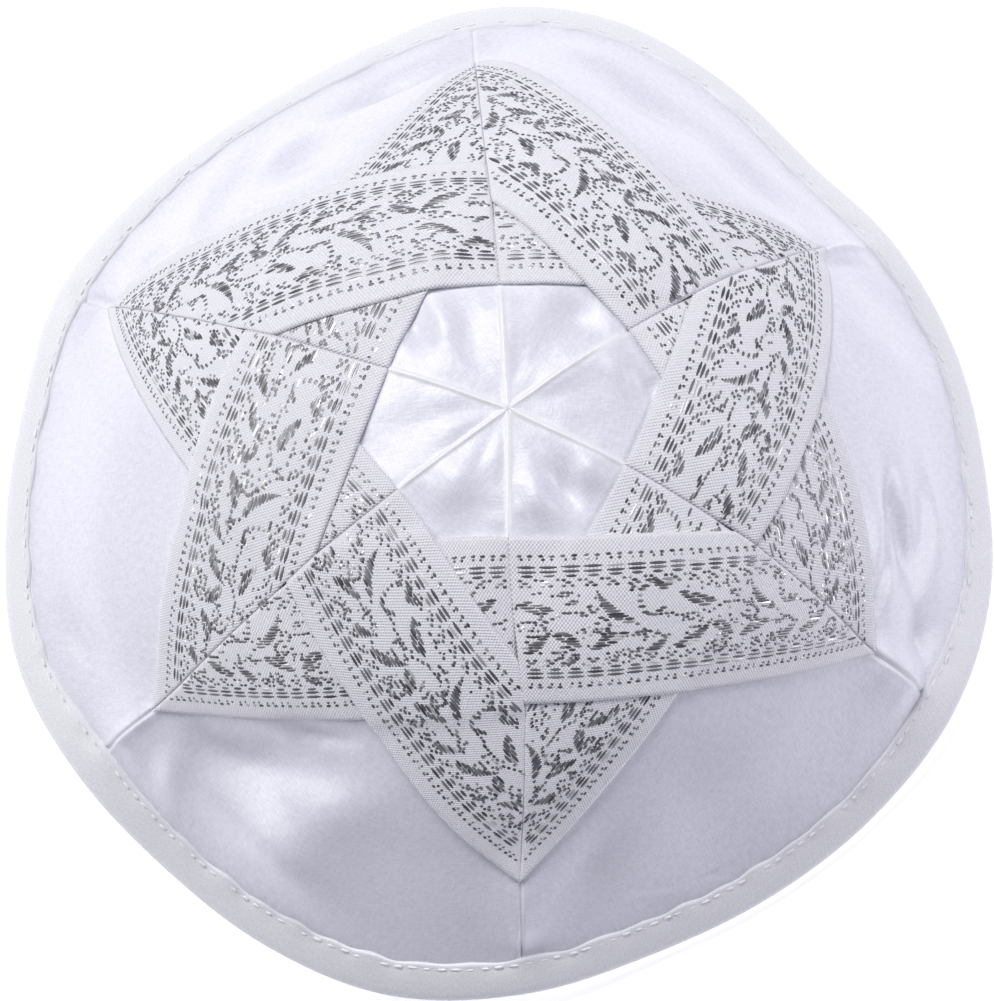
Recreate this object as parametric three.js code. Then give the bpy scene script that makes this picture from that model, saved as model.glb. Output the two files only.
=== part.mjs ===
// A satin skullcap of six gores. A star woven from twelve strips of brocade ribbon is sewn
// on its crown, and a folded tape binds the rim. It lies open side down on a surface.
// Millimetres, +Z up, the origin at the bottom centre of the box round the cap.
import * as THREE from 'three';

// Driving dimensions, in millimetres and degrees.
const RIM_RADIUS = 88.3;
const CAP_HEIGHT = 47;
const GORE_WALL = 1;
const RIBBON_WIDTH = 25.5;
const RIBBON_WALL = 1;
const STAR_OPENING = 22.2;
const BINDING_WIDTH = 5.8;
const BINDING_WALL = 1;
const SEAM_GAP = 0.3;
const LAY_GAP = 0.3;
const CROSSING_GAP = 0.45;
const CROWN_HOLE = 0.8;
const SEAM_LIFT = 2.5;
const REST_FLAT = 0.25;
const SEAM_RELIEF = 1.5;
const SEAM_SPREAD = 5;
const FOLD_DEPTH = 2.5;
const CROSSING_RAMP = 9;
const EDGE_BOW = 2.5;
const STAR_TURN = 3.6;

// The meridian: how steeply the cloth falls at each share of the way from crown to rim.
const MERIDIAN = [
  { share: 0, slope: 0 }, { share: 0.22, slope: 7 }, { share: 0.37, slope: 20 },
  { share: 0.53, slope: 32 }, { share: 0.7, slope: 42 }, { share: 0.8, slope: 48 },
  { share: 0.87, slope: 50 }, { share: 0.93, slope: 44 }, { share: 1, slope: 38 },
];

// A row for each seam, counter-clockwise from the top one. Turns are degrees off the even
// sixth at the star's opening, half way, its points and the rim. The next four are shares of
// the even star's opening, crossing, inner corner and point. The bows are shares of how far the
// outer edges of the two strips past the seam swell. The last three are shares of the relief:
// a ridge stands up and a valley lies in.
const SEAMS = [
  { turnIn: -0.3, turnMid: 0.6, turnTip: 0.6, turnRim: 0.4, opening: 1.03, crossing: 1.05,
    corner: 0.95, point: 1.065, bowOver: 0.4, bowUnder: 0, crown: 0.3, star: -0.4, skirt: -0.7 },
  { turnIn: 5.6, turnMid: 4, turnTip: 2, turnRim: 0.2, opening: 0.95, crossing: 1.02,
    corner: 1, point: 1.085, bowOver: 0.7, bowUnder: 0.2, crown: 0.3, star: -0.3, skirt: -0.4 },
  { turnIn: 3.8, turnMid: 3.3, turnTip: 2.5, turnRim: 0.3, opening: 1.02, crossing: 0.97,
    corner: 0.93, point: 0.99, bowOver: 2, bowUnder: 1, crown: 0.3, star: 0.1, skirt: 1 },
  { turnIn: -3.4, turnMid: -0.3, turnTip: -2, turnRim: -2, opening: 0.99, crossing: 1.03,
    corner: 0.99, point: 0.99, bowOver: 0.6, bowUnder: 1, crown: 0.3, star: -0.4, skirt: 0.9 },
  { turnIn: -0.2, turnMid: -0.7, turnTip: -2.1, turnRim: -0.5, opening: 0.96, crossing: 0.98,
    corner: 1, point: 0.97, bowOver: 0.9, bowUnder: 1.2, crown: 0.3, star: -0.2, skirt: 1 },
  { turnIn: 2.6, turnMid: 2.4, turnTip: 2.9, turnRim: 1.3, opening: 1.12, crossing: 1.06,
    corner: 0.91, point: 0.955, bowOver: 1, bowUnder: 0, crown: 0.3, star: -0.3, skirt: 0.6 },
];

// Four rows for each gore, from its seam on. Reach is the rim's distance from the crown as a
// share of the rim radius, and lift is how far the rim stands off the surface there.
const RIM = [
  { reach: 1.068, lift: 1 }, { reach: 1.016, lift: 0.2 },
  { reach: 0.995, lift: 0 }, { reach: 0.995, lift: 0.2 },
  { reach: 1, lift: 1 }, { reach: 0.983, lift: 0.2 },
  { reach: 0.991, lift: 0 }, { reach: 1.012, lift: 0.2 },
  { reach: 1.004, lift: 1 }, { reach: 0.995, lift: 0.2 },
  { reach: 1.01, lift: 0 }, { reach: 1.022, lift: 0.2 },
  { reach: 1, lift: 1 }, { reach: 0.957, lift: 0.2 },
  { reach: 0.947, lift: 0 }, { reach: 0.955, lift: 0.2 },
  { reach: 0.97, lift: 1 }, { reach: 0.965, lift: 0.2 },
  { reach: 0.948, lift: 0 }, { reach: 0.951, lift: 0.2 },
  { reach: 0.95, lift: 1 }, { reach: 0.955, lift: 0.2 },
  { reach: 1.019, lift: 0 }, { reach: 1.078, lift: 0.2 },
];

// Soft dents and swells. Place counts seams from the top one, share runs from crown to rim,
// across is a share of a gore, along a share of the meridian, and depth of the fold depth.
const FOLDS = [
  { place: 4.28, share: 0.8, across: 0.16, along: 0.04, depth: -0.6 },
  { place: 4.1, share: 0.87, across: 0.08, along: 0.04, depth: -0.5 },
  { place: 2.3, share: 0.77, across: 0.2, along: 0.04, depth: -0.4 },
  { place: 2.4, share: 0.85, across: 0.16, along: 0.05, depth: 0.5 },
  { place: 0.3, share: 0.85, across: 0.2, along: 0.05, depth: -0.4 },
];

// Shares of the meridian over which each shape of the cloth comes in.
const ZONES = {
  start: { from: 0.03, to: 0.12 }, star: { from: 0.15, to: 0.3 }, skirt: { from: 0.72, to: 0.84 },
  end: { from: 0.88, to: 0.93 }, reach: { from: 0.4, to: 1 }, lift: { from: 0.6, to: 1.1 },
};

// The shares of the meridian at which the seams' turns are given.
const TURNS = [
  { share: 0.22, turn: 'turnIn' }, { share: 0.5, turn: 'turnMid' },
  { share: 0.78, turn: 'turnTip' }, { share: 1, turn: 'turnRim' },
];

// The folded edge of the binding, as shares of what it adds at the rim.
const EDGE_BEND = { along: 0.8, height: 0.6 };

// Where the grids of the gores, strips and binding have their points.
const COLUMNS = [0, 0.05, 0.13, 0.25, 0.375, 0.5, 0.625, 0.75, 0.87, 0.95, 1];
const ROWS = [0.11, 0.22, 0.32, 0.41, 0.5, 0.57, 0.64, 0.7, 0.76, 0.81, 0.86, 0.9];
const STRIP_STEPS = { along: 13, across: 6 };
const PROFILE_STEPS = 400;

const GORES = SEAMS.length;
const PANEL = (2 * Math.PI) / GORES;
const TOP_SEAM = THREE.MathUtils.degToRad(90 + STAR_TURN);

// Value of one column of a closed, evenly spaced table, by a cubic through its rows.
function around(table, column, turns) {
  const at = THREE.MathUtils.euclideanModulo(turns, 1) * table.length;
  const row = Math.floor(at);
  const f = at - row;
  const [a, b, c, d] = [-1, 0, 1, 2].map(
    (step) => table[(row + step + table.length) % table.length][column]);
  return b + 0.5 * f * (c - a + f * (2 * a - 5 * b + 4 * c - d + f * (3 * (b - c) + d - a)));
}

function within(zone, x) {
  return THREE.MathUtils.smoothstep(x, zone.from, zone.to);
}

function slopeAt(share) {
  const next = Math.max(1, MERIDIAN.findIndex((row) => row.share >= share));
  const [from, to] = [MERIDIAN[next - 1], MERIDIAN[next]];
  const f = (share - from.share) / (to.share - from.share);
  return THREE.MathUtils.degToRad(from.slope + (to.slope - from.slope) * f);
}

// Running sums of the meridian, scaled so that it starts at 0 and ends at 1.
const meridian = { out: [0], down: [0] };
for (let i = 1; i <= PROFILE_STEPS; i += 1) {
  const slope = slopeAt((i - 0.5) / PROFILE_STEPS);
  meridian.out.push(meridian.out[i - 1] + Math.cos(slope) / PROFILE_STEPS);
  meridian.down.push(meridian.down[i - 1] + Math.sin(slope) / PROFILE_STEPS);
}
const outSum = meridian.out[PROFILE_STEPS];
const downSum = meridian.down[PROFILE_STEPS];

function sumAt(list, share) {
  const at = THREE.MathUtils.clamp(share, 0, 1) * PROFILE_STEPS;
  const row = Math.min(Math.floor(at), PROFILE_STEPS - 1);
  return list[row] + (list[row + 1] - list[row]) * (at - row);
}

const edge = LAY_GAP + BINDING_WALL;
const rimSlope = slopeAt(1);
const rimThickness = GORE_WALL + edge;
const goreRadius = RIM_RADIUS - edge * (Math.cos(rimSlope) + 0.5 * Math.sin(rimSlope));
const rimHeight = rimThickness * Math.cos(rimSlope) - REST_FLAT;
const drop = CAP_HEIGHT - rimHeight;
const meridianLength = goreRadius / outSum;

// How far the cloth leans at a share of the meridian, once it is scaled to the cap's height.
function lean(share) {
  const slope = slopeAt(THREE.MathUtils.clamp(share, 0, 1));
  return Math.atan2((Math.sin(slope) / downSum) * drop, (Math.cos(slope) / outSum) * goreRadius);
}

function sway(turns, share) {
  let turn = around(SEAMS, TURNS[0].turn, turns);
  for (let i = 1; i < TURNS.length; i += 1) {
    const [from, to] = [TURNS[i - 1], TURNS[i]];
    const part = THREE.MathUtils.clamp((share - from.share) / (to.share - from.share), 0, 1);
    turn += (around(SEAMS, to.turn, turns) - around(SEAMS, from.turn, turns)) * part;
  }
  return THREE.MathUtils.degToRad(turn);
}

function seamRelief(angle, share, radius) {
  const seam = Math.round(angle / PANEL);
  const row = SEAMS[(seam + GORES) % GORES];
  const away = Math.abs(angle - seam * PANEL) * radius;
  const height = row.crown + (row.star - row.crown) * within(ZONES.star, share)
    + (row.skirt - row.star) * within(ZONES.skirt, share);
  const fade = within(ZONES.start, share) * (1 - within(ZONES.end, share));
  return SEAM_RELIEF * height * fade * Math.exp(-((away / SEAM_SPREAD) ** 2));
}

function foldRelief(angle, share) {
  let height = 0;
  for (const fold of FOLDS) {
    let across = angle / PANEL - fold.place;
    across -= GORES * Math.round(across / GORES);
    const along = (share - fold.share) / fold.along;
    height += fold.depth * Math.exp(-((across / fold.across) ** 2) - along ** 2);
  }
  return FOLD_DEPTH * height;
}

// A point of the cloth. The angle runs from the top seam, the share from crown to rim, and
// height is how far the point stands off the gores' outer face. Past the rim it runs straight on.
function cloth(angle, share, height) {
  const turns = angle / (2 * Math.PI);
  const reach = 1 + (around(RIM, 'reach', turns) - 1) * within(ZONES.reach, share);
  const lift = SEAM_LIFT * around(RIM, 'lift', turns) * within(ZONES.lift, share);
  const slope = lean(share);
  const past = Math.max(share - 1, 0) * meridianLength;
  const plan = (goreRadius * sumAt(meridian.out, share) / outSum) * reach;
  const off = height + seamRelief(angle, share, plan) + foldRelief(angle, share);
  const radius = plan + off * Math.sin(slope) + past * Math.cos(slope);
  const fall = sumAt(meridian.down, share) / downSum;
  const z = CAP_HEIGHT - drop * fall + lift + off * Math.cos(slope) - past * Math.sin(slope);
  const direction = TOP_SEAM + angle + sway(turns, share);
  return new THREE.Vector3(radius * Math.cos(direction), radius * Math.sin(direction), z);
}

// The angle at a share across a gore, kept half a seam gap off the seams.
function acrossGore(gore, across, share) {
  const radius = Math.max(goreRadius * sumAt(meridian.out, share) / outSum, CROWN_HOLE);
  const gap = Math.asin(SEAM_GAP / 2 / radius);
  return gore * PANEL + gap + across * (PANEL - 2 * gap);
}

// A closed shell between two grids of points of the same size.
function shell(columns, rows, outer, inner) {
  const positions = [];
  for (const face of [outer, inner]) {
    for (let j = 0; j < rows; j += 1) {
      for (let i = 0; i < columns; i += 1) positions.push(...face(i, j).toArray());
    }
  }
  const index = [];
  const at = (layer, i, j) => layer * columns * rows + j * columns + i;
  const quad = (a, b, c, d) => index.push(a, b, c, a, c, d);
  for (let j = 0; j < rows - 1; j += 1) {
    for (let i = 0; i < columns - 1; i += 1) {
      quad(at(0, i, j), at(0, i, j + 1), at(0, i + 1, j + 1), at(0, i + 1, j));
      quad(at(1, i, j), at(1, i + 1, j), at(1, i + 1, j + 1), at(1, i, j + 1));
    }
    quad(at(0, 0, j), at(1, 0, j), at(1, 0, j + 1), at(0, 0, j + 1));
    const last = columns - 1;
    quad(at(0, last, j + 1), at(1, last, j + 1), at(1, last, j), at(0, last, j));
  }
  for (let i = 0; i < columns - 1; i += 1) {
    quad(at(0, i + 1, 0), at(1, i + 1, 0), at(1, i, 0), at(0, i, 0));
    quad(at(0, i, rows - 1), at(1, i, rows - 1), at(1, i + 1, rows - 1), at(0, i + 1, rows - 1));
  }
  return solid(positions, index);
}

function solid(positions, index) {
  const geometry = new THREE.BufferGeometry();
  geometry.setAttribute('position', new THREE.Float32BufferAttribute(positions, 3));
  geometry.setIndex(index);
  geometry.computeVertexNormals();
  return geometry;
}

const satin = new THREE.MeshStandardMaterial({ color: 0xf1f0f8, roughness: 0.45, metalness: 0 });
const brocade = new THREE.MeshStandardMaterial({ color: 0xd9d8de, roughness: 0.6, metalness: 0.1 });
const tape = new THREE.MeshStandardMaterial({ color: 0xecebf5, roughness: 0.5, metalness: 0 });

// Gores: curved walls from the crown point down into the binding.
const bindingShare = BINDING_WIDTH / meridianLength;
const goreShares = [CROWN_HOLE / meridianLength, ...ROWS, 1 - bindingShare, 1 - bindingShare / 2, 1];

function gore(number) {
  const point = (height) => (i, j) =>
    cloth(acrossGore(number, COLUMNS[i], goreShares[j]), goreShares[j], height);
  return shell(COLUMNS.length, goreShares.length, point(0), point(-GORE_WALL));
}

// The star is drawn on a plane in which the straight ribbons of a domed cap stay straight.
const domeRadius = (goreRadius ** 2 + CAP_HEIGHT ** 2) / (2 * CAP_HEIGHT);

function toPlane(length) {
  return domeRadius * Math.tan(length / domeRadius);
}

const evenStar = {
  opening: STAR_OPENING,
  crossing: STAR_OPENING + RIBBON_WIDTH,
};
for (const [far, near] of [['corner', 'opening'], ['point', 'crossing']]) {
  evenStar[far] = domeRadius * Math.atan(toPlane(evenStar[near]) / Math.cos(PANEL) / domeRadius);
}

function starPoint(seam, mark, direction) {
  const row = SEAMS[(seam + GORES) % GORES];
  const far = toPlane(evenStar[mark] * row[mark]);
  return new THREE.Vector2(far * Math.cos(direction), far * Math.sin(direction));
}

// The corners of the strip that crosses the near seam squarely and ends in the star's point
// on the far one. The over strip runs counter-clockwise and the under strip clockwise.
function stripCorners(number, over) {
  const [near, far] = over ? [number, number + 1] : [number + 1, number];
  const [nearAngle, farAngle] = over ? [0, PANEL] : [PANEL, 0];
  return {
    nearIn: starPoint(near, 'opening', nearAngle), nearOut: starPoint(near, 'crossing', nearAngle),
    farIn: starPoint(far, 'corner', farAngle), farOut: starPoint(far, 'point', farAngle),
  };
}

// How far the outer edge of a strip swells at a share of its length.
function swell(number, over, share) {
  return EDGE_BOW * SEAMS[number][over ? 'bowOver' : 'bowUnder'] * 4 * share * (1 - share);
}

// Distance of a point to the left of the line.
function sideOf(point, from, to) {
  return to.clone().sub(from).normalize().cross(point.clone().sub(from));
}

// How far the over strip rises to pass the under strip.
function crossingRise(number, point) {
  const under = stripCorners(number, false);
  const way = under.farOut.clone().sub(under.nearOut);
  const share = point.clone().sub(under.nearOut).dot(way) / way.lengthSq();
  const beyond = sideOf(point, under.nearOut, under.farOut)
    - swell(number, false, THREE.MathUtils.clamp(share, 0, 1));
  const outside = Math.max(beyond, -sideOf(point, under.nearIn, under.farIn));
  const ramp = { from: CROSSING_RAMP / 3, to: CROSSING_RAMP };
  return (RIBBON_WALL + CROSSING_GAP) * (1 - within(ramp, outside));
}

function strip(number, over) {
  const corners = stripCorners(number, over);
  const way = corners.farOut.clone().sub(corners.nearOut).normalize();
  const out = over ? new THREE.Vector2(way.y, -way.x) : new THREE.Vector2(-way.y, way.x);
  const [along, across] = [Math.round(STRIP_STEPS.along), Math.round(STRIP_STEPS.across)];
  const point = (height) => (i, j) => {
    const flip = over ? i : across - i;
    const inner = corners.nearIn.clone().lerp(corners.farIn, j / along);
    const outer = corners.nearOut.clone().lerp(corners.farOut, j / along)
      .addScaledVector(out, swell(number, over, j / along));
    const plane = outer.lerp(inner, flip / across);
    const share = domeRadius * Math.atan(plane.length() / domeRadius) / meridianLength;
    const angle = acrossGore(number, Math.atan2(plane.y, plane.x) / PANEL, share);
    return cloth(angle, share, height + (over ? crossingRise(number, plane) : 0));
  };
  return shell(across + 1, along + 1, point(LAY_GAP + RIBBON_WALL), point(LAY_GAP));
}

// Binding: a tape folded round the rim, its section closed and swept once round. The section's
// places run along the cloth from the rim, and its heights stand off the gores' outer face.
const outerFace = edge;
const innerFace = -GORE_WALL - edge;
const inside = -GORE_WALL - LAY_GAP;
const tapeSection = [
  { along: -BINDING_WIDTH, height: outerFace },
  { along: -BINDING_WIDTH / 2, height: outerFace },
  { along: 0, height: outerFace },
  { along: edge * EDGE_BEND.along, height: edge * EDGE_BEND.height },
  { along: edge, height: 0 },
  { along: edge, height: -GORE_WALL },
  { along: edge * EDGE_BEND.along, height: -GORE_WALL - edge * EDGE_BEND.height },
  { along: 0, height: innerFace },
  { along: -BINDING_WIDTH / 2, height: innerFace },
  { along: -BINDING_WIDTH, height: innerFace },
  { along: -BINDING_WIDTH, height: inside },
  { along: -BINDING_WIDTH / 2, height: inside },
  { along: LAY_GAP, height: inside },
  { along: LAY_GAP, height: LAY_GAP },
  { along: -BINDING_WIDTH / 2, height: LAY_GAP },
  { along: -BINDING_WIDTH, height: LAY_GAP },
];

function binding() {
  const angles = [];
  for (let number = 0; number < GORES; number += 1) {
    for (const across of COLUMNS) angles.push(acrossGore(number, across, 1));
  }
  const positions = [];
  for (const angle of angles) {
    for (const { along, height } of tapeSection) {
      const point = cloth(angle, 1 + along / meridianLength, height);
      point.z = Math.max(point.z, 0); // pressed flat where it rests
      positions.push(...point.toArray());
    }
  }
  const index = [];
  const size = tapeSection.length;
  for (let i = 0; i < angles.length; i += 1) {
    const next = ((i + 1) % angles.length) * size;
    for (let j = 0; j < size; j += 1) {
      const up = (j + 1) % size;
      index.push(i * size + j, i * size + up, next + up, i * size + j, next + up, next + j);
    }
  }
  return solid(positions, index);
}

function piece(name, geometry, material) {
  const mesh = new THREE.Mesh(geometry, material);
  mesh.name = name;
  return mesh;
}

const group = new THREE.Group();
for (let number = 0; number < GORES; number += 1) {
  const label = number + 1;
  group.add(piece(`gore_${label}`, gore(number), satin));
  group.add(piece(`star_ribbon_under_${label}`, strip(number, false), brocade));
  group.add(piece(`star_ribbon_over_${label}`, strip(number, true), brocade));
}
group.add(piece('rim_binding', binding(), tape));

const box = new THREE.Box3().setFromObject(group, true);
const centre = box.getCenter(new THREE.Vector3());
group.position.set(-centre.x, -centre.y, -box.min.z);

export default group;
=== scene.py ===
"""A white satin skullcap, lying on a pale floor: six gores, a star woven from brocade ribbon
with silver floats, and a stitched tape round the rim."""

import math

import bmesh
import bpy
import numpy as np
from mathutils import Matrix, Vector


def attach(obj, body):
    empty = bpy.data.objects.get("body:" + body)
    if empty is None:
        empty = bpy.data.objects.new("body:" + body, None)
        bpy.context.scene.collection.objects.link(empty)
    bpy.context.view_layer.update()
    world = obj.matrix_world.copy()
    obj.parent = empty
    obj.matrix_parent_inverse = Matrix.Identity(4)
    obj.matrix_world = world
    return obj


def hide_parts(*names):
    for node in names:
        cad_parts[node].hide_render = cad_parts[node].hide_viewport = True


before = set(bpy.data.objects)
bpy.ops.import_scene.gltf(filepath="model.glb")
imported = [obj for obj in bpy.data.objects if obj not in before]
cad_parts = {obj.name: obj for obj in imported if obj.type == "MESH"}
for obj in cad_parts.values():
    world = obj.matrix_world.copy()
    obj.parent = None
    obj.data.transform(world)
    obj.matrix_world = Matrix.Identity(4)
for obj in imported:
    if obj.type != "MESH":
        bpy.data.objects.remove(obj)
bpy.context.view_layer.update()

bl_info = {
    "name": "Satin skullcap",
    "version": (1, 0, 0),
    "blender": (4, 5, 0),
    "location": "3D View > Sidebar > Skullcap",
    "description": "Dresses the skullcap's solids in satin, brocade ribbon and stitched tape",
    "category": "Object",
}

MM = 0.001
CLOTH_MAP = "Cloth"

# The meridian: how steeply the cloth falls at each share of the way from crown to rim.
MERIDIAN = {"share": (0, 0.22, 0.37, 0.53, 0.7, 0.8, 0.87, 0.93, 1),
            "slope": (0, 7, 20, 32, 42, 48, 50, 44, 38)}

# One column for each seam, counter-clockwise from the top one. Turns are degrees off the even
# sixth, the next four are shares of the even star, and the last three shares of the relief.
# The bows tell how far the outer edges of the strips on its left swell, as shares.
SEAMS = {
    "turn_in": (-0.3, 5.6, 3.8, -3.4, -0.2, 2.6),
    "turn_mid": (0.6, 4, 3.3, -0.3, -0.7, 2.4),
    "turn_tip": (0.6, 2, 2.5, -2, -2.1, 2.9),
    "turn_rim": (0.4, 0.2, 0.3, -2, -0.5, 1.3),
    "opening": (1.03, 0.95, 1.02, 0.99, 0.96, 1.12),
    "crossing": (1.05, 1.02, 0.97, 1.03, 0.98, 1.06),
    "corner": (0.95, 1, 0.93, 0.99, 1, 0.91),
    "point": (1.065, 1.085, 0.99, 0.99, 0.97, 0.955),
    "bow_over": (0.4, 0.7, 2, 0.6, 0.9, 1),
    "bow_under": (0, 0.2, 1, 1, 1.2, 0),
    "crown": (0.3, 0.3, 0.3, 0.3, 0.3, 0.3),
    "star": (-0.4, -0.3, 0.1, -0.4, -0.2, -0.3),
    "skirt": (-0.7, -0.4, 1, 0.9, 1, 0.6),
}
GORES = len(SEAMS["turn_in"])
PANEL = 2 * math.pi / GORES

# Four places for each gore, from its seam on: the rim's reach as a share of the rim radius,
# and how far it stands off the floor as a share of the seams' lift.
RIM = {
    "reach": (1.068, 1.016, 0.995, 0.995, 1, 0.983, 0.991, 1.012,
              1.004, 0.995, 1.01, 1.022, 1, 0.957, 0.947, 0.955,
              0.97, 0.965, 0.948, 0.951, 0.95, 0.955, 1.019, 1.078),
    "lift": (1, 0.2, 0, 0.2) * GORES,
}

# Soft dents and swells: place in seams from the top one, share of the meridian, spread across
# in gores, spread along as a share, depth as a share of the fold depth.
FOLDS = ((4.28, 0.8, 0.16, 0.04, -0.6), (4.1, 0.87, 0.08, 0.04, -0.5),
         (2.3, 0.77, 0.2, 0.04, -0.4), (2.4, 0.85, 0.16, 0.05, 0.5),
         (0.3, 0.85, 0.2, 0.05, -0.4))

# Creases of the satin: place in seams from the top one, share of the meridian, turn in degrees
# from the way round the cap, then half length, half width and height in millimetres.
CREASES = (
    (4.28, 0.76, -37, 9.5, 2.6, -2.4), (4.36, 0.85, -17, 9.2, 2.8, 0.9),
    (4.19, 0.72, -33, 8, 3, 1), (4.09, 0.87, -45, 7.6, 2, -1), (4.01, 0.86, -86, 7, 1.5, 0.55),
    (2.28, 0.72, -26, 14, 5.5, -1.9), (2.5, 0.76, -55, 14, 6, 1.4), (2.47, 0.84, 20, 11, 5, 1.4),
    (2.12, 0.84, 60, 8, 3, 0.9), (3.3, 0.89, 22, 7.4, 1, 0.44), (3.42, 0.91, 9, 4.7, 0.8, -0.38),
    (0.16, 0.845, -4, 11.5, 3, -2.4), (0.45, 0.81, -28, 10.7, 4, 0.75),
    (0.58, 0.81, -43, 12.9, 3, -0.62), (0.99, 0.89, 88, 6, 1.1, -1.12),
    (0.87, 0.83, 19, 4.3, 2.5, 0.75), (4.99, 0.82, 88, 9, 0.9, 1),
    (4.95, 0.78, -86, 6.1, 1.2, -0.75), (2, 0.85, -89, 6.7, 1.4, 1), (5.6, 0.79, 7, 11, 5, -2.4),
    (5.75, 0.87, -1, 5.2, 3, 0.62), (5.15, 0.88, -2, 7.5, 3, 0.62),
    (4.84, 0.88, -71, 9.7, 4, -0.62), (4.68, 0.82, -68, 10.5, 5, 0.62),
    (1.2, 0.84, -46, 16.5, 4, 0.62), (1.6, 0.77, -1, 12.4, 5, 0.5), (1.78, 0.86, -5, 9.1, 3, -0.5),
    (3, 0.88, 90, 5, 1.5, 0.62), (3.16, 0.8, -51, 7.5, 5, -1.4), (3.46, 0.76, 63, 12.6, 8, -1.6),
    (2.81, 0.83, 32, 7.9, 4, 0.62), (0.63, 0.21, -78, 4.5, 2.5, -1.27),
    (0.49, 0.18, -79, 5.2, 2.75, 1.14), (4.58, 0.23, -23, 3.2, 2.25, -1.14),
    (4.79, 0.19, -14, 3.6, 2.5, 0.99), (3.55, 0.16, -84, 3.8, 2.25, -1.27),
    (3.8, 0.17, -69, 3.3, 2.5, 1.14), (3.28, 0.16, 87, 3.6, 2.5, 0.99),
    (2.42, 0.15, 6, 4.7, 3.75, 0.85), (5.33, 0.2, 3, 4.5, 3.12, -0.99),
    (2.3, 0.72, -22, 14, 5, -1.5), (2.38, 0.62, -21, 7.2, 2.2, -1.5),
    (4.25, 0.72, -3, 10, 1.6, -1.5), (4.29, 0.79, -13, 10, 1.8, 0.7),
    (1.78, 0.86, -6, 9.1, 4, -0.9), (5.25, 0.78, 9, 11.7, 5, -2), (0.49, 0.74, 33, 9.3, 6, -2.4),
    (0.66, 0.84, -49, 13.4, 3.5, 0.9),
)

# The tape's width round the rim, as shares, four to a gore from its seam on.
TAPE = (1, 0.86, 0.8, 0.93, 1.14, 0.9, 0.84, 0.96, 1.24, 1.03, 1, 1,
        1, 1, 1, 1.1, 1.24, 1, 0.9, 0.93, 1.1, 0.93, 0.86, 0.9)

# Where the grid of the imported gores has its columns, which sets the middle of the cap's box.
COLUMNS = (0, 0.05, 0.13, 0.25, 0.375, 0.5, 0.625, 0.75, 0.87, 0.95, 1)

# The shares of the meridian where the four rows of turns hold.
STAR_SHARE = (0.22, 0.5, 0.78, 1)

# The shares of the meridian between which each feature sets in or fades.
ZONES = {
    "reach": (0.4, 1), "lift": (0.6, 1.1), "star": (0.15, 0.3), "skirt": (0.72, 0.84),
    "seam_in": (0.03, 0.12), "seam_out": (0.88, 0.93),
    "crease_in": (0.03, 0.1), "crease_out": (0.92, 0.99),
    # The seam highlight zone is where the painted highlight along the seams fades below the crown.
    "seam_highlight_out": (0.2, 0.3), "line_sinks": (0.2, 0.26), "pucker_in": (0.04, 0.1),
}

# The satin's soft waviness: waves round the cap, waves down it and phase, in radians.
DRAPE_WAVES = ((7, 19, 0), (11, -13, 2), (5, 31, 4))

# Beside an under strip, the over one sinks back between these distances, in millimetres.
CROSSING_FADE = (0.3, 3.5)


def smooth(x, low, high):
    """Rises smoothly from 0 at low to 1 at high."""
    t = np.clip((x - low) / (high - low), 0, 1)
    return t * t * (3 - 2 * t)


def in_zone(share, name):
    """Rises smoothly from 0 to 1 over that zone of the meridian."""
    return smooth(share, *ZONES[name])


def around(values, turns):
    """A closed, evenly spaced row of values, joined by a smooth curve."""
    row = np.asarray(values, float)
    at = np.mod(turns, 1) * len(row)
    i = np.floor(at).astype(int)
    f = at - i
    a, b, c, d = (row[(i + step) % len(row)] for step in (-1, 0, 1, 2))
    return b + 0.5 * f * (c - a + f * (2 * a - 5 * b + 4 * c - d + f * (3 * (b - c) + d - a)))


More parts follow.
